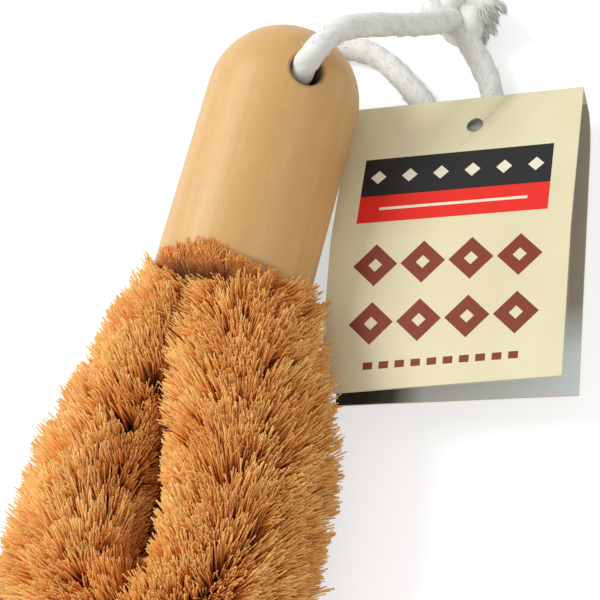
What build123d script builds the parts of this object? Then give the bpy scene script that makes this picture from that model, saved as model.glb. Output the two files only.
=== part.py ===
from build123d import *
import math
import os

# A small coir brush lying on a table, its handle toward +Y. Lengths in millimetres, angles in degrees.

# Handle, a turned wooden grip that narrows toward its domed end
axis_z = 18.5
rim_y = 13.5
dome_y = 53.4
rim_radius = 14.4
dome_radius = 14.2
rim_round = 1.0
mouth_round = 0.7
socket_radius = 9.5
socket_depth = 16.0

# Cross bore for the cord, tipped toward +X
bore_y = 54.5
bore_radius = 3.0
bore_tip = math.degrees(math.atan2(3, 4))

# Twisted wire pair that the fibres are held by, bent into a loop
tail_x = 4.0
tail_y = 27.0
wire_radius = 0.8
wire_gap = 0.25
wire_pitch = 9.0
wire_steps = 6
wire_sides = 6
leg_bend = 28.0
leg_points = [(tail_x, 17.0, axis_z), (tail_x, 9.0, axis_z), (11.6, -24.0, 15.4), (11.6, -40.07, 15.4)]

# Resin that holds the wire tails in the socket
resin_recess = 3.5
resin_floor_gap = 0.5

# Coir, packed round the wires and standing out from them as strands
root_radius = 3.2
root_bore = 1.85
strands_from_y = 11.9
disc_pitch = 3.5
ring_count = 9
strand_root = 1.3
strand_tip = 0.8
strand_seat = 0.6
leg_reach = [(rim_y, 12.0), (0.0, 14.3), (-14.0, 16.0), (-26.0, 16.4), (-66.0, 17.6)]
ragged_shares = [1.0, 0.94, 0.98, 0.91, 0.99, 0.95, 0.92]
middle_gap = 0.35
rim_gap = 0.8
loop_inner_reach = 8.2
join_share = 0.5

# Cotton cord, one loop through the bore and the tag, with its knot
cord_radius = 2.2
arc_share = 0.45
front_start = 8.4
back_start = -10.2
front_turn = 17.0
back_turn = -20.2
front_points = [(12.6, 63.0, 31.0), (17.0, 67.6, 25.2), (20.6, 72.0, 17.2), (22.9, 77.0, 10.2)]
back_points = [(-11.0, 64.5, 2.3), (-3.5, 73.5, 2.3), (6.0, 74.6, 2.3), (12.6, 71.0, 2.4), (17.5, 66.6, 2.5)]
tag_points = [
    (17.5, 66.6, 2.5), (21.8, 62.7, 2.6), (27.6, 55.4, 3.5), (33.2, 56.0, 3.8),
    (35.6, 62.6, 3.6), (32.4, 69.0, 3.7), (26.9, 76.9, 5.0),
]
first_tail_points = [(26.4, 82.0, 6.2), (29.6, 81.2, 5.2), (32.4, 79.4, 4.4)]
second_tail_points = [(26.6, 83.2, 8.2), (30.2, 84.4, 8.4), (33.6, 83.8, 7.6)]

# Knot in the cord
knot_centre = (25.2, 81.8, 6.6)
knot_core = 4.6
knot_ring = 4.1
knot_strand = 2.2
knot_turns = [(90, 20, 0), (70, -35, 40), (25, 10, 75)]

# Folded card tag, held by the cord through two holes in its back leaf
tag_middle = (30.7, 62.6)
tag_yaw = 9.8
tag_width = 45.0
tag_length = 60.0
back_length = 58.0
card = 0.4
card_floor = 0.3
crease_heights = (5.8, 7.8)
belly_heights = (11.2, 12.4)
belly_share = 0.5
lip_heights = (10.4, 13.6)
back_bend = [(1.0, 0.62), (2.6, 0.24), (5.2, 0.07), (8.5, 0.0)]
tag_hole_radius = 1.6
tag_hole = (34.1, 57.0)
mitre_floor = 0.3
cord_spare = 0.6
cord_hole_depth = 6.0
swing_centre = (28.4, 63.4)
swing_cuts = [0.0, 6.0, 12.0, 18.0, 24.0]


def along_bore(distance):
    """A point on the bore's middle line, counted from the handle's axis toward the front mouth."""
    tip = math.radians(bore_tip)
    return Vector(distance * math.sin(tip), bore_y, axis_z + distance * math.cos(tip))


def reach_at(y):
    """How far the coir stands out from the wires at a station along the brush."""
    for (y0, r0), (y1, r1) in zip(leg_reach, leg_reach[1:]):
        if y >= y1:
            return r0 + (r1 - r0) * (y0 - y) / (y0 - y1)
    return leg_reach[-1][1]


def arc_radii(points):
    """A radius for each inner point of a cord's route, from its shorter run and its turn."""
    radii = []
    for a, b, c in zip(points, points[1:], points[2:]):
        first, second = Vector(b) - Vector(a), Vector(c) - Vector(b)
        turn = math.radians(first.get_angle(second))
        radii.append(arc_share * min(first.length, second.length) / math.tan(turn / 2))
    return radii


def tube(points, radius):
    """A round cord along a route, as a solid."""
    if len(points) > 2:
        route = FilletPolyline(*points, radius=arc_radii(points))
    else:
        route = Line(*points)
    start = Plane(origin=route @ 0, z_dir=route % 0)
    return sweep(start * Circle(radius), path=route), route.length


def cord(points):
    """A stretch of cord, with its arcs and its volume against its section and length."""
    solid, length = tube(points, cord_radius)
    share = solid.volume / (math.pi * cord_radius**2 * length)
    arcs = [round(radius, 1) for radius in arc_radii(points)]
    print("arcs", arcs, "length", round(length, 1), "volume", round(share, 4))
    return solid


bore_plane = Plane(origin=along_bore(0), z_dir=(along_bore(1) - along_bore(0)))
side_plane = Plane(origin=(0, 0, axis_z), x_dir=(0, 1, 0), z_dir=(1, 0, 0))
rim_plane = Plane(origin=(0, rim_y, axis_z), x_dir=(1, 0, 0), z_dir=(0, 1, 0))

# Handle
with BuildPart() as handle:
    with BuildSketch(side_plane) as handle_half:
        with BuildLine():
            Polyline((dome_y, 0), (rim_y, 0), (rim_y, rim_radius), (dome_y, dome_radius))
            RadiusArc((dome_y, dome_radius), (dome_y + dome_radius, 0), dome_radius)
            Line((dome_y + dome_radius, 0), (dome_y, 0))
        make_face()
    revolve(axis=Axis((0, 0, axis_z), (0, 1, 0)))
    with BuildSketch(rim_plane):
        Circle(socket_radius)
    extrude(amount=socket_depth, mode=Mode.SUBTRACT)
    fillet(handle.edges().filter_by(GeomType.CIRCLE).group_by(Axis.Y)[0], rim_round)
    with BuildSketch(bore_plane):
        Circle(bore_radius)
    extrude(amount=2 * dome_radius, both=True, mode=Mode.SUBTRACT)
    mouths = handle.faces().filter_by(GeomType.CYLINDER).sort_by(Axis.Y)[-1].edges()
    fillet(mouths.filter_by(lambda e: e.geom_type != GeomType.LINE), mouth_round)
handle.part.label = "handle"

# Middle line of the wire pair, from one tail round the loop to the other


def mirrored(points):
    """The same points on the other side of the brush."""
    return [(-x, y, z) for x, y, z in points]


leg_end = leg_points[-1]
with BuildLine() as right_leg:
    FilletPolyline(*leg_points, radius=leg_bend)
with BuildLine() as loop:
    ThreePointArc(leg_end, (0, leg_end[1] - leg_end[0], leg_end[2]), mirrored([leg_end])[0])
with BuildLine() as left_leg:
    FilletPolyline(*mirrored(leg_points[::-1]), radius=leg_bend)
with BuildLine() as rod:
    Line((tail_x, tail_y, axis_z), leg_points[0])
    add(right_leg.line)
    add(loop.line)
    add(left_leg.line)
    Line(mirrored(leg_points)[0], (-tail_x, tail_y, axis_z))


def rod_stations():
    """Points and directions down the wire pair, a part of a turn apart."""
    route = rod.wire()
    count = round(route.length / wire_pitch * wire_steps)
    return [(route @ (i / count), route % (i / count)) for i in range(count + 1)]


def wire_line(phase):
    """The route of one wire, wound round the middle line."""
    points = []
    for i, (place, heading) in enumerate(rod_stations()):
        side = heading.cross(Vector(0, 0, 1)).normalized()
        up = side.cross(heading).normalized()
        angle = 2 * math.pi * i / wire_steps + phase
        offset = wire_radius + wire_gap / 2
        points.append(place + side * (offset * math.cos(angle)) + up * (offset * math.sin(angle)))
    return points


def wire(phase):
    """One wire as a solid of many flat sides."""
    route = Polyline(*wire_line(phase))
    start = Plane(origin=route @ 0, z_dir=route % 0)
    return sweep(start * RegularPolygon(wire_radius, wire_sides), path=route, transition=Transition.RIGHT)


first_solid, second_solid = wire(0.0), wire(math.pi)
with BuildPart() as wire_first:
    add(first_solid)
wire_first.part.label = "twisted_wire_first"
with BuildPart() as wire_second:
    add(second_solid)
wire_second.part.label = "twisted_wire_second"

# Resin plug
resin_plane = rim_plane.offset(resin_recess)
with BuildPart() as resin:
    with BuildSketch(resin_plane):
        Circle(socket_radius)
        with Locations((tail_x, 0), (-tail_x, 0)):
            Circle(root_bore, mode=Mode.SUBTRACT)
    extrude(amount=socket_depth - resin_recess - resin_floor_gap)
resin.part.label = "socket_resin"


def strand(place, heading, out, length):
    """One tapered strand standing out from the packed roots, square in section."""
    seat = root_radius - strand_seat
    plane = Plane(origin=place + out * seat, x_dir=heading, z_dir=heading.cross(out))
    edge = (strand_root - strand_tip) / 2
    body = Solid.make_wedge(
        strand_root, length - seat, strand_root, edge, edge, strand_root - edge, strand_root - edge
    )
    return plane.location * Location((-strand_root / 2, 0, -strand_root / 2)) * body


def strand_length(place, out, rag, inner_heading):
    """Where a strand stops: its own reach, the other leg, the handle's rim or the loop's inside."""
    length = reach_at(place.Y) * rag
    if out.X * place.X < 0:
        length = min(length, (abs(place.X) - middle_gap - strand_tip / 2) / abs(out.X))
    if out.Y > 0:
        length = min(length, (rim_y - rim_gap - strand_tip / 2 - place.Y) / out.Y)
    if inner_heading is not None and out.dot(inner_heading) > 0:
        length = min(length, loop_inner_reach / out.dot(inner_heading))
    return length


def bunch(route, first, last, inner):
    """All the strands of one stretch of the wire pair."""
    strands = []
    count = round((last - first) * route.length / disc_pitch)
    for i in range(count):
        share = first + (last - first) * (i + join_share) / count
        place, heading = route @ share, route % share
        for j in range(ring_count):
            angle = 2 * math.pi * (j + join_share * (i % 2)) / ring_count
            rag = ragged_shares[(3 * i + 2 * j) % len(ragged_shares)]
            side = heading.cross(Vector(0, 0, 1)).normalized()
            up = side.cross(heading).normalized()
            out = side * math.cos(angle) + up * math.sin(angle)
            centre = (Vector(0, leg_end[1], leg_end[2]) - place).normalized() if inner else None
            length = strand_length(place, out, rag, centre)
            if length > root_radius + strand_root:
                strands.append(strand(place, heading, out, length))
    return strands


def coir(route, first, last, inner=False):
    """A slice of the packed coir with its strands, cut flat where it rests on the table."""
    start = Plane(origin=route @ 0, z_dir=route % 0)
    roots = sweep(start * (Circle(root_radius) - Circle(root_bore)), path=route)
    strands = bunch(route, first, last, inner)
    print("strands", len(strands))
    wide = 2 * tag_length
    below = Box(wide, 2 * wide, leg_end[2], align=(Align.CENTER, Align.CENTER, Align.MAX))
    return roots.fuse(*strands) - below


first_share = (leg_points[0][1] - strands_from_y) / right_leg.wire().length
right_solid = coir(right_leg.wire(), first_share, 1.0)
with BuildLine() as half_loop:
    half = leg_end[0] * math.sin(math.pi / 4)
    ThreePointArc(leg_end, (half, leg_end[1] - half, leg_end[2]), (0, leg_end[1] - leg_end[0], leg_end[2]))
loop_solid = coir(half_loop.wire(), 0.0, 1.0, inner=True)
with BuildPart() as coir_right:
    add(right_solid)
coir_right.part.label = "coir_right_leg"
with BuildPart() as coir_left:
    add(mirror(right_solid, about=Plane.YZ))
coir_left.part.label = "coir_left_leg"
with BuildPart() as loop_right:
    add(loop_solid)
loop_right.part.label = "coir_right_loop"
with BuildPart() as loop_left:
    add(mirror(loop_solid, about=Plane.YZ))
loop_left.part.label = "coir_left_loop"

# Cord, in stretches that meet face to face, and its knot
front_route = [along_bore(front_start), along_bore(front_turn)] + front_points
back_route = [along_bore(back_start), along_bore(back_turn)] + back_points
stretches = {
    "cord_in_bore": [along_bore(back_start), along_bore(front_start)],
    "cord_front": front_route,
    "cord_back": back_route,
    "cord_through_tag": tag_points,
    "cord_tail_first": first_tail_points,
    "cord_tail_second": second_tail_points,
}
cords = {}
for name, points in stretches.items():
    solid = cord(points)
    with BuildPart() as stretch:
        add(solid)
    stretch.part.label = name
    cords[name] = stretch.part

with BuildPart(Location(knot_centre)) as knot:
    Sphere(knot_core)
    for turn in knot_turns:
        Torus(knot_ring, knot_strand, rotation=turn)
knot.part.label = "cord_knot"

# Card tag
tag_frame = Plane(origin=tag_middle + (0,)).rotated((0, 0, tag_yaw))
tag_along, tag_down = tag_frame.x_dir, -tag_frame.y_dir


def card_section(crease, belly, lip):
    """The folded card seen from its end, as a closed outline of an even thickness."""
    low = card_floor + card / 2
    middle = [(tag_length, lip), (belly_share * tag_length, belly), (0, crease)]
    middle += [(s, low + share * (crease - low)) for s, share in back_bend] + [(back_length, low)]
    sides = []
    for sign in (1, -1):
        side = []
        for i, point in enumerate(middle):
            here = Vector(*point)
            before = (here - Vector(*middle[i - 1])).normalized() if i else None
            after = (Vector(*middle[i + 1]) - here).normalized() if i + 1 < len(middle) else None
            first, last = before or after, after or before
            normal = (first + last).rotate(Axis.Z, 90).normalized()
            reach = card / 2 / max(normal.dot(first.rotate(Axis.Z, 90)), mitre_floor)
            shifted = here + normal * (sign * reach)
            side.append((shifted.X, shifted.Y))
        sides.append(side)
    return sides[0] + sides[1][::-1]


def end_plane(offset):
    """The plane of a section of the tag, across the fold."""
    return Plane(origin=tag_frame.origin + tag_along * offset, x_dir=tag_down, z_dir=-tag_along)


swing_line = Axis(swing_centre + (0,), (0, 0, 1))
wide_cord = tube(tag_points, cord_radius + cord_spare)[0]
wall_block = tag_frame * Box(
    tag_width, 2 * cord_hole_depth, 2 * crease_heights[1], align=(Align.CENTER, Align.CENTER, Align.CENTER)
)
cord_cuts = [wide_cord.rotate(swing_line, -turn) & wall_block for turn in swing_cuts]
with BuildPart() as tag:
    for offset, *heights in zip((-tag_width / 2, tag_width / 2), crease_heights, belly_heights, lip_heights):
        with BuildSketch(end_plane(offset)):
            with BuildLine():
                Polyline(*card_section(*heights), close=True)
            make_face()
    loft(ruled=True)
    with BuildSketch(Plane(origin=tag_hole + (crease_heights[0] / 2,))):
        Circle(tag_hole_radius)
    extrude(amount=2 * lip_heights[1], mode=Mode.SUBTRACT)
    add(cord_cuts, mode=Mode.SUBTRACT)
tag.part.label = "card_tag"

os.makedirs("parts", exist_ok=True)
export_step(handle.part, "parts/handle.step")
export_step(wire_first.part, "parts/twisted_wire_first.step")
export_step(wire_second.part, "parts/twisted_wire_second.step")
export_step(resin.part, "parts/socket_resin.step")
export_step(coir_right.part, "parts/coir_right_leg.step")
export_step(coir_left.part, "parts/coir_left_leg.step")
export_step(loop_right.part, "parts/coir_right_loop.step")
export_step(loop_left.part, "parts/coir_left_loop.step")
for name, solid in cords.items():
    export_step(solid, f"parts/{name}.step")
export_step(knot.part, "parts/cord_knot.step")
export_step(tag.part, "parts/card_tag.step")
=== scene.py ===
import math
import bpy
import numpy as np
from mathutils import Matrix


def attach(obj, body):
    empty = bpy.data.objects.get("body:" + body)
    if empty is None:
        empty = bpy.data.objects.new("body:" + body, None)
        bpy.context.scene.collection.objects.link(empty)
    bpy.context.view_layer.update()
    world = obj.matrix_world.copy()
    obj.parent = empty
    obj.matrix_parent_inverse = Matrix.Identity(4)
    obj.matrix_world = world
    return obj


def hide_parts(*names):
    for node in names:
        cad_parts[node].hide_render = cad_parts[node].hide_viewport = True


# A small coir brush on a pale floor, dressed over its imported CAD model.
# Everything is in metres, and MM turns millimetres into them.

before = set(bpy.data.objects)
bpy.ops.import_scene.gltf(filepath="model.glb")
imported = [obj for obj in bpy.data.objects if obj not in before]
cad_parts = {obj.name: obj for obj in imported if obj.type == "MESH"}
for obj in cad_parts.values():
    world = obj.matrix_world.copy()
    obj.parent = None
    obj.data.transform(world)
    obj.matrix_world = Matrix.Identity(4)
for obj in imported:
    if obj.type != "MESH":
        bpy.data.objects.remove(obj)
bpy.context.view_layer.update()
MM = 0.001

# Camera, at the photograph's viewing angle. RIGHT, UP and BACK are its own axes
EYE = (0.1965, -0.1591, 0.4284)
RIGHT = (0.9198, 0.2462, -0.3055)
UP = (-0.0998, 0.8999, 0.4245)
BACK = (0.3795, -0.3600, 0.8523)
LENS_MM = 162.0
SENSOR_MM = 36.0
NEAR, FAR = 0.01, 10.0


def make_camera():
    data = bpy.data.cameras.new("Camera")
    data.lens = LENS_MM
    data.sensor_width = SENSOR_MM
    data.clip_start, data.clip_end = NEAR, FAR
    camera = bpy.data.objects.new("Camera", data)
    bpy.context.scene.collection.objects.link(camera)
    turn = Matrix((RIGHT, UP, BACK)).transposed()
    camera.matrix_world = Matrix.Translation(EYE) @ turn.to_4x4()
    bpy.context.scene.camera = camera


make_camera()


# Shader nodes
def node(tree, kind, props=None, **inputs):
    """A shader node with its properties and inputs set. An input named i0, i1 is taken by its place."""
    made = tree.nodes.new(kind)
    for key, value in (props or {}).items():
        setattr(made, key, value)
    for key, value in inputs.items():
        place = int(key[1:]) if key[0] == "i" and key[1:].isdigit() else key.replace("_", " ")
        if isinstance(value, bpy.types.NodeSocket):
            tree.links.new(value, made.inputs[place])
        else:
            made.inputs[place].default_value = value
    return made


def math_node(tree, operation, a, b=0.0, c=0.0, clamp=False):
    """A sum of numbers or sockets."""
    props = {"operation": operation, "use_clamp": clamp}
    return node(tree, "ShaderNodeMath", props, i0=a, i1=b, i2=c).outputs[0]


def times(tree, a, b):
    return math_node(tree, "MULTIPLY", a, b)


def ramp(tree, factor, stops):
    """A colour ramp with the given (place, colour) stops."""
    made = node(tree, "ShaderNodeValToRGB", None, i0=factor)
    elements = made.color_ramp.elements
    while len(elements) < len(stops):
        elements.new(1.0)
    for element, (place, colour) in zip(elements, stops):
        element.position = place
        element.color = (*colour, 1.0)
    return made.outputs[0]


def mix(tree, factor, a, b, blend="MIX"):
    """Two colours mixed."""
    made = tree.nodes.new("ShaderNodeMix")
    made.data_type = "RGBA"
    made.blend_type = blend
    for name, value in (("Factor_Float", factor), ("A_Color", a), ("B_Color", b)):
        socket = next(s for s in made.inputs if s.identifier == name)
        if isinstance(value, bpy.types.NodeSocket):
            tree.links.new(value, socket)
        else:
            socket.default_value = value if name == "Factor_Float" else (*value, 1.0)
    return next(s for s in made.outputs if s.identifier == "Result_Color")


def span(tree, value, low, high, to_low=0.0, to_high=1.0):
    """A value that runs from to_low to to_high as another goes from low to high."""
    return node(tree, "ShaderNodeMapRange", None, i0=value, i1=low, i2=high, i3=to_low, i4=to_high).outputs[0]


def place_of(tree):
    """Where a point is in the CAD frame, in metres."""
    return node(tree, "ShaderNodeTexCoord").outputs["Object"]


def parts_of(tree, vector):
    return node(tree, "ShaderNodeSeparateXYZ", None, i0=vector).outputs


def noise_of(tree, vector, scale, detail, roughness=0.55):
    inputs = {"Vector": vector, "Scale": scale, "Detail": detail, "Roughness": roughness}
    return node(tree, "ShaderNodeTexNoise", None, **inputs).outputs[0]


def stretched(tree, vector, scale):
    """The same place with its axes scaled, for grain that runs one way."""
    return node(tree, "ShaderNodeMapping", None, Vector=vector, Scale=scale).outputs[0]


def attribute(tree, name):
    return node(tree, "ShaderNodeAttribute", {"attribute_name": name}).outputs["Fac"]


def bump(tree, height, strength, distance):
    return node(tree, "ShaderNodeBump", None, Height=height, Strength=strength, Distance=distance).outputs[0]


def material(name, build):
    """A material whose surface is a Principled shader with the inputs that build gives."""
    made = bpy.data.materials.new(name)
    made.use_nodes = True
    tree = made.node_tree
    tree.nodes.clear()
    shader = node(tree, "ShaderNodeBsdfPrincipled", None, **build(tree))
    node(tree, "ShaderNodeOutputMaterial", None, Surface=shader.outputs[0])
    return made


def wear(piece, made):
    """Puts one material on every slot of a piece."""
    if not piece.material_slots:
        piece.data.materials.append(made)
    for used in piece.material_slots:
        used.material = made


# Floor, lamps and world. The floor glows only for rays that show it directly
FLOOR_SIZE = 3.0
FLOOR_GREY = 0.62
FLOOR_GLOW = 0.56
SKY = 0.65
LAMP_AIM = (0.0, 0.0, 0.01)
KEY_PLACE, KEY_SIZE, KEY_WATTS = (-0.42, 0.16, 0.50), 0.30, 3.0
FILL_PLACE, FILL_SIZE, FILL_WATTS = (0.45, -0.30, 0.45), 0.40, 0.6
SEEN = ("Is Camera Ray", "Is Glossy Ray", "Is Transmission Ray")


def seen_directly(tree):
    """1 for rays that show the background itself, in the picture, in metal and in glass."""
    rays = node(tree, "ShaderNodeLightPath").outputs
    first = math_node(tree, "MAXIMUM", rays[SEEN[0]], rays[SEEN[1]])
    return math_node(tree, "MAXIMUM", first, rays[SEEN[2]])


def make_floor():
    bpy.ops.mesh.primitive_plane_add(size=FLOOR_SIZE, location=(0, 0, 0))
    floor = bpy.context.object
    floor.name = "floor"
    made = bpy.data.materials.new("floor")
    made.use_nodes = True
    tree = made.node_tree
    tree.nodes.clear()
    grey = node(tree, "ShaderNodeBsdfDiffuse", None, Color=(FLOOR_GREY, FLOOR_GREY, FLOOR_GREY, 1))
    glow = node(tree, "ShaderNodeEmission", None, Color=(1, 1, 1, 1))
    tree.links.new(times(tree, seen_directly(tree), FLOOR_GLOW), glow.inputs["Strength"])
    both = node(tree, "ShaderNodeAddShader", None, i0=grey.outputs[0], i1=glow.outputs[0])
    node(tree, "ShaderNodeOutputMaterial", None, Surface=both.outputs[0])
    wear(floor, made)


def make_world():
    world = bpy.data.worlds.new("studio")
    bpy.context.scene.world = world
    world.use_nodes = True
    tree = world.node_tree
    tree.nodes.clear()
    strength = span(tree, seen_directly(tree), 0.0, 1.0, SKY, 1.0)
    sky = node(tree, "ShaderNodeBackground", None, Color=(1, 1, 1, 1), Strength=strength)
    node(tree, "ShaderNodeOutputWorld", None, Surface=sky.outputs[0])


def make_lamp(name, place, size, watts):
    """A square soft lamp that looks at the brush."""
    data = bpy.data.lights.new(name, "AREA")
    data.size = size
    data.energy = watts
    lamp = bpy.data.objects.new(name, data)
    bpy.context.scene.collection.objects.link(lamp)
    back = np.array(place) - np.array(LAMP_AIM)
    back = back / np.linalg.norm(back)
    side = np.cross((0.0, 1.0, 0.0), back)
    side = side / np.linalg.norm(side)
    turn = Matrix((side, np.cross(back, side), back)).transposed()
    lamp.matrix_world = Matrix.Translation(place) @ turn.to_4x4()


make_floor()
make_world()
make_lamp("key", KEY_PLACE, KEY_SIZE, KEY_WATTS)
make_lamp("fill", FILL_PLACE, FILL_SIZE, FILL_WATTS)
bpy.context.scene.view_settings.view_transform = "Standard"

# Wood, wire and resin. Lengths are the CAD model's
AXIS_Z = 18.5 * MM
RIM_Y = 13.5 * MM
RIM_RADIUS = 14.4 * MM
SOCKET_RADIUS = 9.5 * MM
SOCKET_END = 31.0 * MM
BORE_Y = 54.5 * MM
BORE_X, BORE_Z = 0.6, 0.8
GRAIN_STRETCH = (520, 16, 520)
BAND_STRETCH = (150, 5, 150)
PORE_STRETCH = (2600, 190, 2600)
TURNED_STRETCH = (70, 1300, 70)
MOTTLE_STRETCH = (420, 260, 420)
PALE_WOOD, MID_WOOD, DEEP_WOOD = (0.665, 0.425, 0.175), (0.635, 0.390, 0.150), (0.595, 0.345, 0.122)
# Marks in the wood: where their noise begins and ends to show, how strongly at either place, and their colour
WOOD_MARKS = (
    ("grain", 0.35, 0.75, 0.0, 0.24, (0.47, 0.235, 0.072)),
    ("pores", 0.62, 0.80, 0.0, 0.28, (0.33, 0.16, 0.055)),
    ("turned", 0.46, 0.72, 0.0, 0.10, (0.47, 0.24, 0.080)),
    ("mottle", 0.42, 0.64, 0.17, 0.0, (0.48, 0.26, 0.090)),
    ("patches", 0.40, 0.70, 0.0, 0.22, (0.66, 0.365, 0.115)),
)
SHADE_AND_END_GRAIN_SHARE, BORE_DARK_SHARE = 0.85, 0.8
# Painted shade in a band at the top of the rim, then the darker end grain where the wood is cut across
RIM_SHADE_BROWN, CUT_BROWN = (0.33, 0.15, 0.05), (0.21, 0.095, 0.035)
# The first colour is painted shade, dark inside the socket
SOCKET_SHADE_BROWN, BORE_BROWN = (0.10, 0.045, 0.018), (0.20, 0.09, 0.035)
RIM_SHADE_BAND, CUT_BAND = (3.1 * MM, 2.1 * MM), (0.9 * MM, 0.2 * MM)
# The painted rim shade grows from nothing to full between these heights above the handle's axis
RIM_SHADE_LIFT = (4 * MM, 10 * MM)
SOCKET_SHADE_MARGIN = 0.3 * MM
BORE_DARK_BAND = (3.9 * MM, 3.0 * MM)


def wood(tree):
    """Pale turned wood with fine grain along the handle, browner end grain where it is cut across, darker in
    and round the bore, and painted shade in a band at the top of its rim and inside its socket.
    """
    place = place_of(tree)
    x, y, z = parts_of(tree, place)[:3]
    bands = noise_of(tree, stretched(tree, place, BAND_STRETCH), 1.0, 2.0, 0.5)
    noises = {
        "grain": noise_of(tree, stretched(tree, place, GRAIN_STRETCH), 1.0, 5.0, 0.6),
        "pores": noise_of(tree, stretched(tree, place, PORE_STRETCH), 1.0, 2.0, 0.5),
        "turned": noise_of(tree, stretched(tree, place, TURNED_STRETCH), 1.0, 3.0, 0.6),
        "mottle": noise_of(tree, stretched(tree, place, MOTTLE_STRETCH), 1.0, 3.0, 0.6),
        "patches": noise_of(tree, place, 45.0, 3.0),
    }
    colour = ramp(tree, bands, [(0.30, DEEP_WOOD), (0.55, MID_WOOD), (0.75, PALE_WOOD)])
    for mark, low, high, share_low, share_high, brown in WOOD_MARKS:
        colour = mix(tree, span(tree, noises[mark], low, high, share_low, share_high), colour, brown)
    lift = math_node(tree, "SUBTRACT", z, AXIS_Z)
    # Painted shade: a dark band on the upper side of the handle just behind its rim
    rim_shade, cut_end = (span(tree, y, RIM_Y + far, RIM_Y + near) for far, near in (RIM_SHADE_BAND, CUT_BAND))
    rim_shade = times(tree, rim_shade, span(tree, lift, *RIM_SHADE_LIFT))
    # Painted shade inside the socket, out to just past its wall
    radius = math_node(tree, "SQRT", math_node(tree, "MULTIPLY_ADD", lift, lift, times(tree, x, x)))
    inside = math_node(tree, "LESS_THAN", radius, SOCKET_RADIUS + SOCKET_SHADE_MARGIN)
    inside = times(tree, inside, math_node(tree, "LESS_THAN", y, SOCKET_END))
    # The first and last of these are painted shade, the middle one the end grain's own colour
    for where, brown in ((rim_shade, RIM_SHADE_BROWN), (cut_end, CUT_BROWN), (inside, SOCKET_SHADE_BROWN)):
        colour = mix(tree, times(tree, where, SHADE_AND_END_GRAIN_SHARE), colour, brown)
    # Darker on the bore's walls and in a thin ring round its mouths
    along = math_node(tree, "MULTIPLY_ADD", x, BORE_X, times(tree, lift, BORE_Z))
    off_x = math_node(tree, "SUBTRACT", x, times(tree, along, BORE_X))
    off_z = math_node(tree, "SUBTRACT", lift, times(tree, along, BORE_Z))
    off_y = math_node(tree, "SUBTRACT", y, BORE_Y)
    square = math_node(tree, "MULTIPLY_ADD", off_x, off_x, times(tree, off_z, off_z))
    square = math_node(tree, "MULTIPLY_ADD", off_y, off_y, square)
    from_bore = math_node(tree, "SQRT", square)
    colour = mix(tree, span(tree, from_bore, *BORE_DARK_BAND, 0.0, BORE_DARK_SHARE), colour, BORE_BROWN)
    height = math_node(tree, "MULTIPLY_ADD", noises["pores"], -0.5, noises["grain"])
    shine = span(tree, noises["grain"], 0.3, 0.7, 0.40, 0.52)
    return {"Base Color": colour, "Roughness": shine, "Normal": bump(tree, height, 0.25, 0.12 * MM)}


def wire_metal(tree):
    """Drawn galvanised wire, dulled in patches."""
    place = place_of(tree)
    dull = noise_of(tree, place, 900.0, 3.0)
    colour = ramp(tree, dull, [(0.35, (0.22, 0.21, 0.20)), (0.7, (0.52, 0.51, 0.49))])
    shine = span(tree, dull, 0.3, 0.7, 0.28, 0.5)
    skin = bump(tree, dull, 0.2, 0.03 * MM)
    return {"Base Color": colour, "Metallic": 1.0, "Roughness": shine, "Normal": skin}


def resin(tree):
    """Dark set resin with a slightly uneven skin."""
    place = place_of(tree)
    flow = noise_of(tree, place, 260.0, 3.0)
    colour = ramp(tree, flow, [(0.3, (0.035, 0.016, 0.008)), (0.7, (0.10, 0.045, 0.018))])
    shine = span(tree, flow, 0.3, 0.7, 0.25, 0.45)
    return {"Base Color": colour, "Roughness": shine, "Normal": bump(tree, flow, 0.4, 0.4 * MM)}


wear(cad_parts["handle"], material("turned_wood", wood))
wear(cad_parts["socket_resin"], material("set_resin", resin))
steel = material("drawn_wire", wire_metal)
for name in ("twisted_wire_first", "twisted_wire_second"):
    wear(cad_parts[name], steel)

# Card tag. The print's places are in millimetres, across and down from the middle of the fold
TAG_MIDDLE = (30.7 * MM, 62.6 * MM)
TAG_YAW = math.radians(9.8)
BETWEEN_LEAVES = 4.5 * MM
BROWN, RED = (0.20, 0.028, 0.010), (0.74, 0.018, 0.010)
DARK, PALE = (0.010, 0.009, 0.009), (0.76, 0.72, 0.56)
DARK_BAR = (-18.0, 18.0, 12.0, 20.5)
RED_BAR = (-18.0, 18.0, 20.5, 26.5)
PALE_LINE = (-14.0, 14.0, 23.2, 23.8)
CREAM_STOPS = [(0.3, (0.69, 0.625, 0.405)), (0.7, (0.75, 0.68, 0.46))]
# The inside of the back leaf, from where the front leaf shades it to its open edge: partly print and partly
# painted shade, darkest at the shaded end
INNER_PRINT_AND_SHADE_STOPS = [
    (0.0, (0.045, 0.036, 0.030)), (0.14, (0.12, 0.105, 0.095)), (0.30, (0.84, 0.86, 0.84)),
    (1.0, (0.86, 0.95, 0.97))]
CREAM_FLECK, CORNER_SHADE = (0.60, 0.53, 0.32), (0.40, 0.35, 0.27)
LOZENGE_ROWS, LOZENGE_PITCH, LOZENGE_SIZE, LOZENGE_HOLLOW = (35.5, 47.0), 9.0, 4.2, 1.3
LOZENGE_FIELD = (-18.0, 18.0, 30.0, 52.0)
SPOT_ROW, SPOT_PITCH, SPOT_SIZE = 16.25, 6.0, 1.5
SPOT_FIELD = (-17.0, 17.0, 12.0, 20.5)
DASH_FIELD = (-15.0, 15.0, 54.6, 56.0)
RIDGE_START, RIDGE_ACROSS, RIDGE_DOWN = 8 * MM, 0.79, 0.615
RIDGE_HALF_WIDTH, RIDGE_HEIGHT = 3.0 * MM, 1.1 * MM


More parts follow.
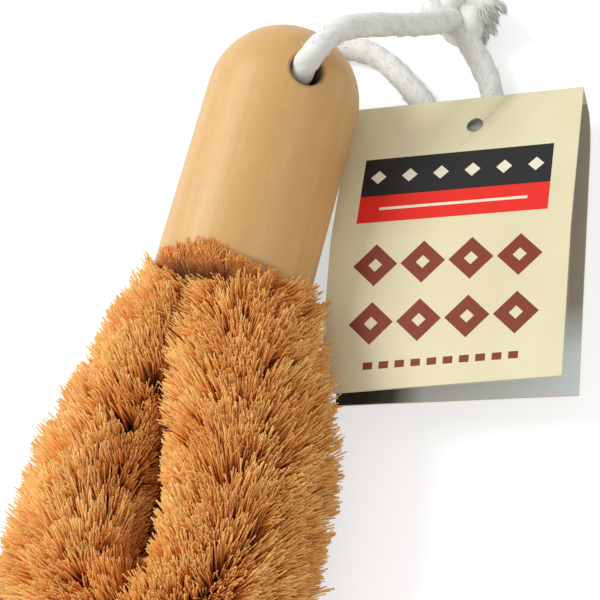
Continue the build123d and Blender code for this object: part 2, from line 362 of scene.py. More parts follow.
def oblong(tree, u, v, left, right, top, bottom):
    """1 inside a rectangle of the tag."""
    inside = math_node(tree, "GREATER_THAN", u, left * MM)
    edges = (("LESS_THAN", u, right), ("GREATER_THAN", v, top), ("LESS_THAN", v, bottom))
    for operation, value, edge in edges:
        inside = times(tree, inside, math_node(tree, operation, value, edge * MM))
    return inside


def lozenges(tree, u, v, middle, pitch, size):
    """1 inside a row of lozenges."""
    across = math_node(tree, "PINGPONG", math_node(tree, "ADD", u, 4.5 * pitch * MM), 0.5 * pitch * MM)
    down = math_node(tree, "ABSOLUTE", math_node(tree, "SUBTRACT", v, middle * MM))
    return math_node(tree, "LESS_THAN", math_node(tree, "ADD", across, down), size * MM)


def card(tree):
    """Cream card with a plain printed pattern of bands and lozenges on its front leaf, and print with painted
    shade inside its back leaf.
    """
    place = place_of(tree)
    z = parts_of(tree, place)[2]
    cos, sin = math.cos(TAG_YAW), math.sin(TAG_YAW)
    shift = (-(cos * TAG_MIDDLE[0] + sin * TAG_MIDDLE[1]), sin * TAG_MIDDLE[0] - cos * TAG_MIDDLE[1], 0)
    turned = node(tree, "ShaderNodeMapping", None, Vector=place, Location=shift, Rotation=(0, 0, -TAG_YAW))
    u, minus_v = parts_of(tree, turned.outputs[0])[:2]
    v = times(tree, minus_v, -1.0)
    face_z = parts_of(tree, node(tree, "ShaderNodeTexCoord").outputs["Normal"])[2]
    up = math_node(tree, "GREATER_THAN", face_z, 0.5)
    front = times(tree, up, math_node(tree, "GREATER_THAN", z, BETWEEN_LEAVES))
    inner = times(tree, up, math_node(tree, "LESS_THAN", z, BETWEEN_LEAVES))
    fibre = noise_of(tree, place, 1400.0, 3.0)
    cloud = noise_of(tree, place, 60.0, 2.0)
    cream = ramp(tree, cloud, CREAM_STOPS)
    cream = mix(tree, span(tree, fibre, 0.4, 0.7, 0.0, 0.10), cream, CREAM_FLECK)
    rows, hollow = (
        math_node(tree, "MAXIMUM", *(lozenges(tree, u, v, row, LOZENGE_PITCH, size) for row in LOZENGE_ROWS))
        for size in (LOZENGE_SIZE, LOZENGE_HOLLOW))
    rows = times(tree, rows, oblong(tree, u, v, *LOZENGE_FIELD))
    rows = math_node(tree, "SUBTRACT", rows, hollow, clamp=True)
    front_colour = mix(tree, rows, cream, BROWN)
    front_colour = mix(tree, oblong(tree, u, v, *DARK_BAR), front_colour, DARK)
    spots = lozenges(tree, u, v, SPOT_ROW, SPOT_PITCH, SPOT_SIZE)
    front_colour = mix(tree, times(tree, spots, oblong(tree, u, v, *SPOT_FIELD)), front_colour, PALE)
    front_colour = mix(tree, oblong(tree, u, v, *RED_BAR), front_colour, RED)
    front_colour = mix(tree, oblong(tree, u, v, *PALE_LINE), front_colour, PALE)
    dashes = math_node(tree, "GREATER_THAN", math_node(tree, "PINGPONG", u, 1.5 * MM), 0.6 * MM)
    front_colour = mix(tree, times(tree, dashes, oblong(tree, u, v, *DASH_FIELD)), front_colour, BROWN)
    # The back leaf's inside: print with painted shade, near black on its left and pale to its right
    inner_print_and_shade = ramp(tree, span(tree, u, -17 * MM, 20 * MM), INNER_PRINT_AND_SHADE_STOPS)
    shaded = times(tree, span(tree, u, 18 * MM, 20 * MM), span(tree, v, 50 * MM, 40 * MM))
    inner_print_and_shade = mix(tree, shaded, inner_print_and_shade, CORNER_SHADE)
    colour = mix(tree, front, mix(tree, inner, cream, inner_print_and_shade), front_colour)
    across = math_node(tree, "SUBTRACT", u, RIDGE_START)
    off = math_node(tree, "MULTIPLY_ADD", across, RIDGE_ACROSS, times(tree, v, RIDGE_DOWN))
    crest = span(tree, math_node(tree, "ABSOLUTE", off), RIDGE_HALF_WIDTH, 0.0)
    crest = times(tree, crest, times(tree, crest, span(tree, v, 13 * MM, 5 * MM)))
    skin = bump(tree, fibre, 0.15, 0.02 * MM)
    ridge = node(tree, "ShaderNodeBump", None, Height=crest, Strength=1.0, Distance=RIDGE_HEIGHT, Normal=skin)
    shine = span(tree, fibre, 0.3, 0.7, 0.42, 0.55)
    return {
        "Base Color": colour, "Roughness": shine, "Specular IOR Level": 0.25, "Normal": ridge.outputs[0],
    }


wear(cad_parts["card_tag"], material("printed_card", card))

# Cotton cord. Its routes are the CAD model's, in millimetres, with points moved and added by the photograph
CORD_RADIUS = 2.2 * MM
FRONT_ROUTE = [
    (0, 54.5, 18.5), (4.8, 54.1, 24.9), (8.9, 55.8, 31.9), (12.6, 62.8, 31.0), (17.0, 67.3, 25.0),
    (20.6, 72.0, 17.2), (22.9, 77.0, 10.2), (24.6, 79.4, 7.6)]
BACK_ROUTE = [
    (0, 54.5, 18.5), (-6.12, 54.5, 10.34), (-12.12, 54.5, 2.34), (-11.0, 64.5, 2.3), (-3.5, 73.5, 2.3),
    (6.0, 74.6, 2.3), (12.6, 71.0, 2.4), (17.5, 66.6, 2.5), (21.8, 62.7, 2.6), (27.6, 55.4, 3.5),
    (33.2, 56.0, 3.8), (35.6, 62.6, 3.6), (32.9, 69.3, 3.8), (26.9, 76.9, 5.0), (25.2, 79.6, 6.0)]
FIRST_TAIL = [(25.6, 81.6, 6.2), (28.2, 80.6, 5.2), (29.4, 79.4, 4.6)]
SECOND_TAIL = [(26.6, 83.2, 8.2), (29.8, 83.6, 8.0), (31.4, 81.9, 7.3)]
KNOT_CENTRE = np.array((24.6, 81.4, 7.0)) * MM
KNOT_SCALE = 1.62 * MM
KNOT_SPIN = math.radians(20)
KNOT_DEPTH = 1.2
KNOT_STEPS = 240
ROPE_STEP = 0.35 * MM
ROPE_AROUND = 30
ROPE_LUMPS = ((0.018, 0.55, 0.3), (0.026, 1.3, 1.7), (0.030, 2.9, 4.0))
ROPE_LIFT = 0.05 * MM
PLY_PITCH = 13.0 * MM
PLY_DEPTH = 0.038
TAIL_SWELL = ([0, 0.6, 1], [1, 1, 0.85])
FRAY_FIBRES, FRAY_TUFTS = 300, 9
FRAY_LENGTH, FRAY_ROOT, FRAY_LIFT = 2.8 * MM, 1.2 * MM, 0.15 * MM
FRAY_SPREAD, FRAY_JITTER = 0.35, 0.30
FRAY_RADII = np.array([0.085, 0.085, 0.075, 0.06, 0.03]) * MM
LINT_ROOT = 0.92 * CORD_RADIUS
LINT_LIFT = 0.12 * MM
# In millimetres: how far lint runs along the cord and round it, stands off it, and bows outward
LINT_RUN, LINT_TURN, LINT_OUT, LINT_BOW = 1.1, 0.7, (0.15, 0.65), (0.05, 0.3)
LINT_RADII = np.array([0.05, 0.045, 0.025]) * MM
FRONT_LINT, BACK_LINT, KNOT_LINT = 320, 600, 260
SIDES = 3
RANDOM = np.random.default_rng(7)
RINGS_AT = np.array([0.0, 0.55, 1.0])


def spline_points(name, route):
    """Points of a NURBS spline whose control points are the route's, read from Blender."""
    data = bpy.data.curves.new(name, "CURVE")
    data.dimensions = "3D"
    data.resolution_u = 24
    line = data.splines.new("NURBS")
    line.points.add(len(route) - 1)
    for point, place in zip(line.points, route):
        point.co = (*(c * MM for c in place), 1.0)
    line.order_u = 3
    line.use_endpoint_u = True
    curve = bpy.data.objects.new(name, data)
    bpy.context.scene.collection.objects.link(curve)
    mesh = bpy.data.meshes.new_from_object(curve)
    points = np.array([v.co[:] for v in mesh.vertices])
    bpy.data.objects.remove(curve)
    bpy.data.meshes.remove(mesh)
    return points


def evenly(points, step):
    """The same line with its points a fixed step apart."""
    runs = np.linalg.norm(np.diff(points, axis=0), axis=1)
    far = np.concatenate([[0], np.cumsum(runs)])
    at = np.linspace(0, far[-1], max(3, int(round(far[-1] / step)) + 1))
    return np.stack([np.interp(at, far, points[:, i]) for i in range(3)], axis=1), at


def frames_along(points):
    """Headings and two cross directions that turn as little as they can along a line."""
    heading = np.gradient(points, axis=0)
    heading /= np.linalg.norm(heading, axis=1)[:, None]
    side = np.cross(heading[0], (0.0, 0.0, 1.0))
    side /= np.linalg.norm(side)
    sides = [side]
    for h in heading[1:]:
        side = sides[-1] - h * (sides[-1] @ h)
        sides.append(side / np.linalg.norm(side))
    sides = np.array(sides)
    return heading, sides, np.cross(heading, sides)


def mesh_piece(name, vertices, faces, made):
    """A smooth mesh object from arrays, with its material."""
    data = bpy.data.meshes.new(name)
    data.from_pydata(vertices.tolist(), [], faces)
    data.validate()
    data.update()
    data.polygons.foreach_set("use_smooth", [True] * len(data.polygons))
    piece = bpy.data.objects.new(name, data)
    bpy.context.scene.collection.objects.link(piece)
    data.materials.append(made)
    return piece


def rope(name, line, swell=None, phase=0.0):
    """A soft three-ply cord along a line, a little uneven. swell is a factor on the radius along it."""
    points, at = evenly(line, ROPE_STEP)
    _, side, up = frames_along(points)
    count = len(points)
    swell = np.ones(count) if swell is None else np.interp(at / at[-1], *swell)
    lump = sum(size * np.sin(at / (width * MM) + start) for size, width, start in ROPE_LUMPS)
    theta = np.linspace(0, 2 * math.pi, ROPE_AROUND, endpoint=False)
    twist = 2 * math.pi * at / PLY_PITCH + phase
    turn = 1.5 * (theta[None, :] - twist[:, None])
    ply = 1 - PLY_DEPTH + 2 * PLY_DEPTH * np.abs(np.cos(turn)) ** 0.8
    reach = CORD_RADIUS * (ply + lump[:, None]) * swell[:, None]
    ring = side[:, None] * np.cos(theta)[None, :, None] + up[:, None] * np.sin(theta)[None, :, None]
    vertices = (points[:, None] + ring * reach[..., None]).reshape(-1, 3)
    vertices[:, 2] = np.maximum(vertices[:, 2], ROPE_LIFT)
    faces = []
    for i in range(count - 1):
        a, b = i * ROPE_AROUND, (i + 1) * ROPE_AROUND
        for j in range(ROPE_AROUND):
            k = (j + 1) % ROPE_AROUND
            faces.append((a + j, a + k, b + k, b + j))
    faces.append(tuple(range(ROPE_AROUND))[::-1])
    faces.append(tuple(range((count - 1) * ROPE_AROUND, count * ROPE_AROUND)))
    piece = mesh_piece(name, vertices, faces, cotton_made)
    lay = np.repeat(at, ROPE_AROUND) / MM
    spin = (theta[None, :] - twist[:, None]).reshape(-1)
    # ply is lowest in the grooves between plies, where the cotton material paints shade
    grooves = np.abs(np.cos(turn)).reshape(-1)
    for key, values in (("lay", lay), ("spin", np.cos(spin)), ("spin_b", np.sin(spin)), ("ply", grooves)):
        piece.data.attributes.new(key, "FLOAT", "POINT").data.foreach_set("value", values.astype(np.float32))
    return piece, points


def cotton(tree):
    """Soft white cotton, spun in three plies, with painted shade that greys its grooves."""
    place = place_of(tree)
    groove_shade = attribute(tree, "ply")
    coordinates = node(
        tree, "ShaderNodeCombineXYZ", None,
        X=times(tree, attribute(tree, "spin"), 9.0),
        Y=times(tree, attribute(tree, "spin_b"), 9.0),
        Z=times(tree, attribute(tree, "lay"), 0.5),
    ).outputs[0]
    yarn = noise_of(tree, coordinates, 1.0, 4.0, 0.6)
    fluff = noise_of(tree, place, 1500.0, 3.0)
    cloud = noise_of(tree, place, 160.0, 2.0)
    colour = ramp(tree, yarn, [(0.30, (0.70, 0.71, 0.67)), (0.6, (0.83, 0.84, 0.79))])
    # Painted shade in the grooves between the plies
    colour = mix(tree, span(tree, groove_shade, 0.0, 0.35, 0.25, 0.0), colour, (0.60, 0.61, 0.58))
    colour = mix(tree, span(tree, cloud, 0.42, 0.68, 0.0, 0.35), colour, (0.70, 0.70, 0.63))
    height = math_node(tree, "MULTIPLY_ADD", fluff, 0.5, yarn)
    return {
        "Base Color": colour, "Roughness": span(tree, fluff, 0.3, 0.7, 0.78, 0.95),
        "Normal": bump(tree, height, 0.5, 0.2 * MM), "Sheen Weight": 0.25, "Sheen Roughness": 0.5,
    }


def lint_cotton(tree):
    """The same cotton on loose single fibres."""
    tone = attribute(tree, "tone")
    colour = ramp(tree, tone, [(0.0, (0.66, 0.66, 0.60)), (1.0, (0.86, 0.86, 0.80))])
    return {"Base Color": colour, "Roughness": span(tree, tone, 0, 1, 0.75, 0.95), "Sheen Weight": 0.25}


def hairs(name, curves, radii, made, tone, along):
    """Fine closed fibres as one mesh. curves is fibres x points x 3, radii and along are fibres x points."""
    fibres, steps = curves.shape[:2]
    heading = curves[:, -1] - curves[:, 0]
    heading /= np.linalg.norm(heading, axis=1)[:, None] + 1e-12
    pick = np.where(np.abs(heading[:, 2:]) < 0.9, (0.0, 0.0, 1.0), (1.0, 0.0, 0.0))
    side = np.cross(heading, pick)
    side /= np.linalg.norm(side, axis=1)[:, None]
    up = np.cross(heading, side)
    spin = RANDOM.uniform(0, 2 * math.pi, fibres)
    angle = spin[:, None] + 2 * math.pi * np.arange(SIDES) / SIDES
    ring = side[:, None] * np.cos(angle)[..., None] + up[:, None] * np.sin(angle)[..., None]
    body = curves[:, :, None] + ring[:, None] * radii[:, :, None, None]
    each = steps * SIDES
    quads = np.array([
        (i * SIDES + j, i * SIDES + k, (i + 1) * SIDES + k, (i + 1) * SIDES + j)
        for i in range(steps - 1) for j, k in zip(range(SIDES), (*range(1, SIDES), 0))])
    ends = np.array([tuple(range(SIDES))[::-1], tuple(range(each - SIDES, each))])
    start = (np.arange(fibres) * each)[:, None, None]
    quads = (start + quads[None]).reshape(-1, 4)
    ends = (start + ends[None]).reshape(-1, SIDES)
    corners = np.concatenate([quads.reshape(-1), ends.reshape(-1)]).astype(np.int32)
    sizes = np.concatenate([np.full(len(quads), 4), np.full(len(ends), SIDES)])
    data = bpy.data.meshes.new(name)
    data.vertices.add(fibres * each)
    data.vertices.foreach_set("co", body.reshape(-1).astype(np.float32))
    data.loops.add(len(corners))
    data.loops.foreach_set("vertex_index", corners)
    data.polygons.add(len(sizes))
    data.polygons.foreach_set("loop_start", np.concatenate([[0], np.cumsum(sizes)[:-1]]).astype(np.int32))
    data.update(calc_edges=True)
    data.polygons.foreach_set("use_smooth", [True] * len(sizes))
    tones, places = np.repeat(tone, each), np.repeat(along, SIDES, axis=1).reshape(-1)
    for key, numbers in (("tone", tones), ("along", places)):
        data.attributes.new(key, "FLOAT", "POINT").data.foreach_set("value", numbers.astype(np.float32))
    piece = bpy.data.objects.new(name, data)
    bpy.context.scene.collection.objects.link(piece)
    data.materials.append(made)
    return piece


cotton_made = material("cotton", cotton)
lint_made = material("cotton_lint", lint_cotton)


def trefoil():
    """The line of an overhand knot drawn tight, as it lies at the cord's knot."""
    t = np.linspace(0, 2 * math.pi, KNOT_STEPS, endpoint=False)
    across, down = np.sin(t) + 2 * np.sin(2 * t), np.cos(t) - 2 * np.cos(2 * t)
    shape = np.stack([across, down, -KNOT_DEPTH * np.sin(3 * t)], axis=1)
    spin = np.array(Matrix.Rotation(KNOT_SPIN, 3, "Z"))
    shape = KNOT_SCALE * shape @ spin.T @ np.array((RIGHT, UP, BACK)) + KNOT_CENTRE
    return np.concatenate([shape, shape[:1]])


def lint(name, line, count):
    """Short loose fibres that stand off a cord."""
    points, _ = evenly(line, ROPE_STEP)
    heading, side, up = frames_along(points)
    at = RANDOM.integers(0, len(points), count)
    theta = RANDOM.uniform(0, 2 * math.pi, count)[:, None]
    out = side[at] * np.cos(theta) + up[at] * np.sin(theta)
    around = np.cross(heading[at], out)
    root = points[at] + out * LINT_ROOT
    run = heading[at] * RANDOM.normal(0, LINT_RUN, (count, 1))
    run = run + around * RANDOM.normal(0, LINT_TURN, (count, 1))
    end = root + (run + out * RANDOM.uniform(*LINT_OUT, (count, 1))) * MM
    middle = (root + end) / 2 + out * RANDOM.uniform(*LINT_BOW, (count, 1)) * MM
    curves = np.stack([root, middle, end], axis=1)
    curves[..., 2] = np.maximum(curves[..., 2], LINT_LIFT)
    radii = np.broadcast_to(LINT_RADII, (count, 3))
    along = np.broadcast_to(RINGS_AT, (count, 3))
    return hairs(name, curves, radii, lint_made, RANDOM.uniform(0, 1, count), along)


def fray(name, tip, heading):
    """The loose fibres at a cord's cut end, in small pointed tufts."""
    heading = np.array(heading) / np.linalg.norm(heading)
    side = np.cross(heading, (0, 0, 1.0))
    side /= np.linalg.norm(side)
    up = np.cross(side, heading)
    angle = RANDOM.uniform(0, 2 * math.pi, FRAY_TUFTS)
    off = np.sqrt(RANDOM.uniform(0.05, 1, FRAY_TUFTS))
    centre = side * (off * np.cos(angle))[:, None] + up * (off * np.sin(angle))[:, None]
    reach = RANDOM.uniform(0.65, 1.0, FRAY_TUFTS) * FRAY_LENGTH
    which = RANDOM.integers(0, FRAY_TUFTS, FRAY_FIBRES)
    jitter = RANDOM.normal(0, FRAY_JITTER, (FRAY_FIBRES, 3))
    root = tip - heading * FRAY_ROOT + (centre[which] * 0.75 + jitter * 0.5) * CORD_RADIUS
    end = tip + heading * (reach[which] * RANDOM.uniform(0.75, 1.05, FRAY_FIBRES))[:, None]
    end += (centre[which] * (1 + FRAY_SPREAD) + jitter * 0.40) * CORD_RADIUS
    middle = (root + end) / 2 + (centre[which] * 0.25 + jitter * 0.35) * CORD_RADIUS
    bend = 2 * middle - (root + end) / 2
    s = np.linspace(0, 1, len(FRAY_RADII))[None, :, None]
    curves = (1 - s) ** 2 * root[:, None] + 2 * s * (1 - s) * bend[:, None] + s**2 * end[:, None]
    curves[..., 2] = np.maximum(curves[..., 2], FRAY_LIFT)
    radii = np.broadcast_to(FRAY_RADII, curves.shape[:2])
    along = np.broadcast_to(s[..., 0], curves.shape[:2])
    return hairs(name, curves, radii, lint_made, RANDOM.uniform(0, 1, FRAY_FIBRES), along)


def make_cords():
    front_line = spline_points("front_route", FRONT_ROUTE)
    back_line = spline_points("back_route", BACK_ROUTE)
    front, front_path = rope("cord_front_strand", front_line)
    back, back_path = rope("cord_back_strand", back_line, phase=1.0)
    knot, _ = rope("cord_knot_wraps", trefoil())
    first_line = spline_points("first_route", FIRST_TAIL)
    second_line = spline_points("second_route", SECOND_TAIL)
    first, _ = rope("cord_tail_first_end", first_line, swell=TAIL_SWELL, phase=0.5)
    second, _ = rope("cord_tail_second_end", second_line, swell=TAIL_SWELL, phase=2.0)
    frays = []
    for name, line in (("cord_tail_first_fray", first_line), ("cord_tail_second_fray", second_line)):
        frays.append(fray(name, line[-1], line[-1] - line[-4]))
    front_lint = lint("cord_front_lint", front_line[len(front_line) // 4:], FRONT_LINT)
    back_lint = lint("cord_back_lint", back_line[len(back_line) // 6:], BACK_LINT)
    knot_lint = lint("cord_knot_lint", trefoil(), KNOT_LINT)
    for piece, nodes in (
        (front, ("cord_in_bore", "cord_front")), (back, ("cord_back", "cord_through_tag")),
        (knot, ("cord_knot",)), (first, ("cord_tail_first",)), (second, ("cord_tail_second",)),
        (frays[0], ()), (frays[1], ()), (front_lint, ()), (back_lint, ()), (knot_lint, ()),
    ):
        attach(piece, "cord_loop")
        if nodes:
            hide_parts(*nodes)


make_cords()

# Coir. Each half of the head is made as if on its right side, and the left one is mirrored
LEG_LINE = np.array([
    (4.0, 13.0, 18.5), (4.4, 6.5, 18.2), (11.0, -21.5, 15.7), (11.6, -27.0, 15.4),
    (11.6, -40.07, 15.4)]) * MM
LOOP_MIDDLE = np.array((0.0, -40.07, 15.4)) * MM
LOOP_RADIUS = 11.6 * MM
FIBRES_EACH = 10500
PER_CLUMP = 10
FIBRE_RADII = np.array([0.17, 0.175, 0.135]) * MM
LEAN = 0.36
# Scatter of a clump's turn and lean, then of each fibre's place along the wires, turn, lean and bow
CLUMP_TURN, CLUMP_LEAN = 0.09, 0.13
PLACE_SCATTER, TURN_SCATTER, LEAN_SCATTER, BOW_SCATTER = 0.010, 0.045, 0.04, 0.038
FIBRE_START = 1.3 * MM
FIBRE_LIFT = 0.12 * MM
TIP_JITTER = 0.20 * MM
INNER_LIMIT, INNER_RAG = 12.0 * MM, 0.5 * MM
PARTING_RAG = 0.45 * MM
# Fibres stop over the handle's end, and below a slope in front of it that leaves its rim in sight
FORWARD_LIMIT, FORWARD_RAG = 16.5, 1.5
SIGHT_Z, SIGHT_SLOPE, SIGHT_RAG = 31.0 * MM, 2.3, 1.0 * MM
SIGHT_FROM_X, SIGHT_FROM_Y = -3.0 * MM, 6.0 * MM
# Fibres low on the right side stop short of the tag that lies beside them
TAG_EDGE_X, TAG_EDGE_Y, TAG_GAP = 8.5, 58.7, 1.0 * MM
BESIDE_TAG_Y, BESIDE_TAG_Z = -2.5 * MM, 14.0 * MM
PRESSED_BACK = (0.3, 2.2)
RIM_CLEAR = 0.5 * MM
# The fringe. Some of its clumps make one tuft at the top of the rim, and the others stray round it
FRINGE_CLUMPS, FRINGE_SEED = 150, 31
TUFT_SHARE = 0.30
TUFT_TURN, STRAY_TURN = (0.03, 0.13), (-0.55, 1.05)
TUFT_REACH, STRAY_REACH = (1.8, 4.3), (0.6, 2.9)
FRINGE_SWAY = 0.05
# Its roots, bends and tips: scatter in their turn, distance from the axis, and place along it.
# The tips' last pair is a share of their reach beyond the rim
FRINGE_ROWS = (
    (0.05, (9.5, 11.5), (11.6, 12.9)),
    (0.035, (14.6, 15.1), (12.9, 13.3)),
    (0.025, (14.65, 16.2), (0.8, 1.05)),
)
# Along the brush, at these places down from the origin, in millimetres
REACH_AT = [-13, -9, -4, 0, 14, 26, 66]
REACH = [12.4, 13.6, 15.0, 15.7, 16.6, 16.7, 17.4]
STATIONS = [-14.0, -6.0, 7.0, 15.6, 26.0, 35.5, 44.0, 52.0]
# How far inward the fibres come, how much longer they are on the outside, and how much they lean
RIGHT_PARTING = [-4.6, -4.1, -3.0, -0.9, 1.6, 3.8, 2.0, 0.0]
LEFT_PARTING = [4.6, 4.5, 3.9, 3.4, 3.2, 3.2, 1.5, 0.0]
RIGHT_SPARE = [0.4, 0.8, 1.3, 1.5, 1.2, 0.8, 0.4, 0.0]
LEFT_SPARE = [-0.2, -0.2, -0.4, -0.2, 0.3, 0.8, 0.8, 0.8]
LEAN_SHARE = [0.15, 0.55, 1.0, 1.0, 1.0, 1.0, 1.0, 1.0]
# Coir colour from root to tip. The dark stops near the roots are painted shade deep in the head; the golden
# brown and the paler cut tips are the fibre's own
COIR_STOPS_WITH_ROOT_SHADE = [
    (0.0, (0.080, 0.026, 0.007)), (0.42, (0.27, 0.080, 0.015)), (0.66, (0.66, 0.205, 0.028)),
    (0.83, (0.95, 0.40, 0.070)), (1.0, (0.98, 0.60, 0.19))]
DARKENING, PALE_COIR, RED_COIR = (0.70, 0.56, 0.42), (0.97, 0.66, 0.28), (0.78, 0.25, 0.030)


def leg_place(share):
    """A point of the right leg's middle line, from the handle's end to where the loop begins."""
    runs = np.linalg.norm(np.diff(LEG_LINE, axis=0), axis=1)
    far = np.concatenate([[0], np.cumsum(runs)]) / runs.sum()
    return np.stack([np.interp(share, far, LEG_LINE[:, i]) for i in range(3)], axis=1)


def loop_place(share):
    """A point of the right half of the loop's middle line."""
    angle = share * math.pi / 2
    around = np.stack([np.cos(angle), -np.sin(angle), np.zeros_like(angle)], axis=1)
    return LOOP_MIDDLE + LOOP_RADIUS * around


def heading_at(place_at, share):
    """Which way a middle line runs."""
    step = 0.01
    ahead = place_at(np.clip(share + step, 0, 1)) - place_at(np.clip(share - step, 0, 1))
    return ahead / np.linalg.norm(ahead, axis=1)[:, None]


def reach_at(y):
    """How far the fibres stand out from the wires, along the brush."""
    return np.interp(-y / MM, REACH_AT, REACH) * MM


def tag_edge(y):
    """Where the tag's left edge lies beside the coir."""
    return (TAG_EDGE_X + (TAG_EDGE_Y - y / MM) * math.tan(TAG_YAW)) * MM


def shorten(start, tip, axis, limit, sign):
    """Tips that pass a limit along one axis come back to it along their fibres."""
    past = sign * (tip[:, axis] - limit) > 0
    run = np.where(past, tip[:, axis] - start[:, axis], 1.0)
    share = np.where(past, (limit - start[:, axis]) / run, 1.0)
    return start + (tip - start) * np.clip(share, 0.12, 1.0)[:, None]


def coir(tree):
    """Palm fibre: golden brown outside, paler at the cut tips, no two fibres alike, with painted shade that
    darkens it toward the roots.
    """
    along, tone = attribute(tree, "along"), attribute(tree, "tone")
    patch = noise_of(tree, place_of(tree), 110.0, 2.0)
    # Painted shade: the ramp darkens each fibre toward its root
    colour = ramp(tree, along, COIR_STOPS_WITH_ROOT_SHADE)
    darker = mix(tree, 1.0, colour, DARKENING, "MULTIPLY")
    colour = mix(tree, span(tree, tone, 0.0, 0.45, 0.8, 0.0), colour, darker)
    colour = mix(tree, span(tree, tone, 0.72, 1.0, 0.0, 0.45), colour, PALE_COIR)
    colour = mix(tree, span(tree, patch, 0.38, 0.60, 0.45, 0.0), colour, RED_COIR)
    return {
        "Base Color": colour, "Roughness": span(tree, tone, 0.0, 1.0, 0.62, 0.42), "Specular IOR Level": 0.35,
        "Sheen Weight": 0.08,
    }


def at_station(y, values):
    """A value given at stations along the head."""
    return np.interp(-y / MM, STATIONS, values)


def ruffle(root, angle, phase):
    """Slow changes in the fibres' turn and lean, so that the coir parts and closes here and there."""
    u, w = root[:, 1] / MM, angle * 16.0
    turn = 0.14 * np.sin(u / 2.7 + 1.3 * np.sin(w / 4.1) + phase) + 0.09 * np.sin(w / 2.9 + u / 3.7 + 2.0)
    lean = 0.15 * np.sin(w / 3.3 + u / 4.9 + phase) + 0.10 * np.sin(u / 2.2 - w / 5.0)
    return turn, lean


def fibre_tips(root, heading, angle, lean, loop, left, rag):
    """Where each fibre ends, with nothing in its way, and which way it stands."""
    side = np.cross(heading, (0.0, 0.0, 1.0))
    side /= np.linalg.norm(side, axis=1)[:, None]
    inward, upward = np.cos(angle), np.sin(angle)
    out = side * inward[:, None] + np.cross(side, heading) * upward[:, None]
    spare = at_station(root[:, 1], LEFT_SPARE if left else RIGHT_SPARE) * MM
    reach = reach_at(root[:, 1]) + spare * np.clip(-inward, 0, 1)
    if left and not loop:
        reach *= 1 - 0.46 * np.clip(inward, 0, 1) * np.clip(upward + 0.4, 0, 1)
        rag = rag - 0.5 * np.clip(inward, 0, 1) * (1 - rag)
    reach *= rag
    return out, reach, root + out * reach[:, None] - heading * (lean * reach)[:, None]


def kept_clear(random, start, tip, root, loop, left):
    """Tips drawn back from the loop's inside, the other leg, the handle, the line of sight, table and tag."""
    count = len(tip)
    if loop:
        radial = (root - LOOP_MIDDLE) / LOOP_RADIUS
        inward = -np.einsum("ij,ij->i", tip - start, radial)
        limit = INNER_LIMIT + random.normal(0, INNER_RAG, count)
        cut = np.where(inward > limit, limit / np.maximum(inward, 1e-9), 1.0)
        tip = start + (tip - start) * cut[:, None]
    parting = at_station(tip[:, 1], LEFT_PARTING if left else RIGHT_PARTING) * MM
    tip = shorten(start, tip, 0, parting + random.normal(0.0, PARTING_RAG, count), -1)
    forward = (FORWARD_LIMIT + random.uniform(-FORWARD_RAG, FORWARD_RAG, count)) * MM
    tip = shorten(start, tip, 1, forward, 1)
    world_x = -tip[:, 0] if left else tip[:, 0]
    in_view = (world_x > SIGHT_FROM_X) & (tip[:, 1] > SIGHT_FROM_Y)
    sight = SIGHT_Z + SIGHT_SLOPE * np.maximum(RIM_Y - tip[:, 1], 0) + random.normal(0, SIGHT_RAG, count)
    tip = shorten(start, tip, 2, np.where(in_view, sight, 1.0), 1)
    tip = shorten(start, tip, 2, (0.15 + random.uniform(0, 0.9, count)) * MM, -1)
    if not left:
        beside = (tip[:, 1] > BESIDE_TAG_Y) & (tip[:, 2] < BESIDE_TAG_Z)
        tip = shorten(start, tip, 0, np.where(beside, tag_edge(tip[:, 1]) - TAG_GAP, 1.0), 1)
    return tip


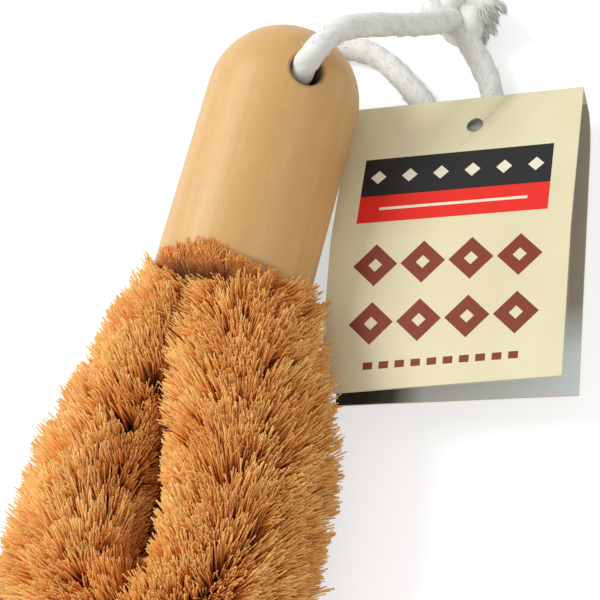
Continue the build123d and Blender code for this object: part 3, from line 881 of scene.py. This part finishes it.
def fibre_curves(place_at, count, loop, left, seed):
    """Fibres of one half of the head as if on its right side, from the wires to the cut tips."""
    random = np.random.default_rng(seed)
    clumps = count // PER_CLUMP
    which = np.repeat(np.arange(clumps), PER_CLUMP)
    share_c = (np.arange(clumps) + random.uniform(0, 1, clumps)) / clumps
    angle_c = random.uniform(0, 2 * math.pi, clumps)
    if loop:
        turned = (np.cos(angle_c) > 0) & (random.uniform(0, 1, clumps) < 0.5)
        angle_c = np.where(turned, math.pi - angle_c, angle_c)
    rag_c = 1.02 - 0.17 * random.uniform(0, 1, clumps) ** 1.5
    splay_c, lean_c = random.normal(0, CLUMP_TURN, clumps), random.normal(0, CLUMP_LEAN, clumps)
    fibres = len(which)
    share = np.clip(share_c[which] + random.normal(0, PLACE_SCATTER, fibres), 0, 1)
    root, heading = place_at(share), heading_at(place_at, share)
    turn, sway = ruffle(root, angle_c[which], 1.0 if left else 4.0)
    angle = angle_c[which] + splay_c[which] + turn + random.normal(0, TURN_SCATTER, fibres)
    lean = LEAN * (1 - share if loop else at_station(root[:, 1], LEAN_SHARE))
    lean = lean + lean_c[which] + sway + random.normal(0, LEAN_SCATTER, fibres)
    rag = rag_c[which] * random.uniform(0.93, 1.0, fibres)
    out, reach, tip = fibre_tips(root, heading, angle, lean, loop, left, rag)
    tip += random.normal(0, TIP_JITTER, tip.shape)
    start = root + out * FIBRE_START
    tip = kept_clear(random, start, tip, root, loop, left)
    s = RINGS_AT[None, :, None]
    bow = random.normal(0, BOW_SCATTER, (fibres, 3)) * reach[:, None]
    curves = start[:, None] + (tip - start)[:, None] * s + bow[:, None] * (s * (1 - s) * 4)
    radius = np.hypot(curves[..., 0], curves[..., 2] - AXIS_Z)
    pressed = (RIM_Y - random.uniform(*PRESSED_BACK, fibres) * MM)[:, None]
    blocked = (curves[..., 1] > pressed) & (radius < RIM_RADIUS + RIM_CLEAR)
    curves[..., 1] = np.where(blocked, pressed, curves[..., 1])
    curves[..., 2] = np.maximum(curves[..., 2], FIBRE_LIFT)
    # along is 0 at the root and 1 at the tip; the coir ramp paints shade by it
    whole = (reach * math.hypot(1, LEAN))[:, None]
    along = np.clip(np.linalg.norm(curves - root[:, None], axis=2) / whole, 0, 1)
    tone = np.clip(random.uniform(0, 0.65, fibres) + random.uniform(0, 0.35, clumps)[which], 0, 1)
    radii = FIBRE_RADII[None] * random.uniform(0.75, 1.2, fibres)[:, None]
    return curves, radii, tone, along


def rim_fringe(made):
    """Fibres that the handle's end presses back, bent up over its rim and thickest at the top."""
    random = np.random.default_rng(FRINGE_SEED)
    clumps = FRINGE_CLUMPS
    which = np.repeat(np.arange(clumps), PER_CLUMP)
    count = len(which)
    in_tuft = random.uniform(0, 1, clumps) < TUFT_SHARE
    turn_c = np.where(in_tuft, random.normal(*TUFT_TURN, clumps), random.uniform(*STRAY_TURN, clumps))
    reach_c = np.where(in_tuft, random.uniform(*TUFT_REACH, clumps), random.uniform(*STRAY_REACH, clumps))
    reach_c *= 1 - 0.50 * np.clip(turn_c, 0, 1) - 0.35 * np.clip(-turn_c - 0.2, 0, 1)
    sway_c = random.normal(0, FRINGE_SWAY, clumps)
    rows = []
    for scatter, distance, far in FRINGE_ROWS:
        spread = random.normal(0, scatter, count)
        radius, y = random.uniform(*distance, count), random.uniform(*far, count)
        if len(rows) == len(FRINGE_ROWS) - 1:
            spread, y = spread + sway_c[which], RIM_Y / MM + reach_c[which] * y
        turn = turn_c[which] + spread
        rows.append(np.stack([radius * np.sin(turn), y, AXIS_Z / MM + radius * np.cos(turn)], axis=1))
    # Places on the coir ramp, whose low end is painted shade: these fibres start at 0.3 and stop short of the
    # palest tips
    middle, tips = random.uniform(0.36, 0.62, count), random.uniform(0.70, 0.90, count)
    along = np.stack([np.full(count, 0.30), middle, tips], axis=1)
    radii = FIBRE_RADII[None] * random.uniform(0.5, 0.8, count)[:, None]
    tone = random.uniform(0.2, 1.0, count)
    piece = hairs("coir_rim_fringe", np.stack(rows, axis=1) * MM, radii, made, tone, along)
    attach(piece, "brush")


def make_coir():
    made = material("coir_fibre", coir)
    rim_fringe(made)
    for name, node_name, loop, left, seed in (
        ("coir_right_leg_fibres", "coir_right_leg", False, False, 11),
        ("coir_right_leg_fibres_more", "", False, False, 21),
        ("coir_left_leg_fibres", "coir_left_leg", False, True, 12),
        ("coir_left_leg_fibres_more", "", False, True, 22),
        ("coir_right_loop_fibres", "coir_right_loop", True, False, 13),
        ("coir_left_loop_fibres", "coir_left_loop", True, True, 14),
    ):
        place_at = loop_place if loop else leg_place
        curves, radii, tone, along = fibre_curves(place_at, FIBRES_EACH, loop, left, seed)
        if left:
            curves = curves * (-1.0, 1.0, 1.0)
        piece = hairs(name, curves, radii, made, tone, along)
        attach(piece, "brush")
        if node_name:
            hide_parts(node_name)


make_coir()
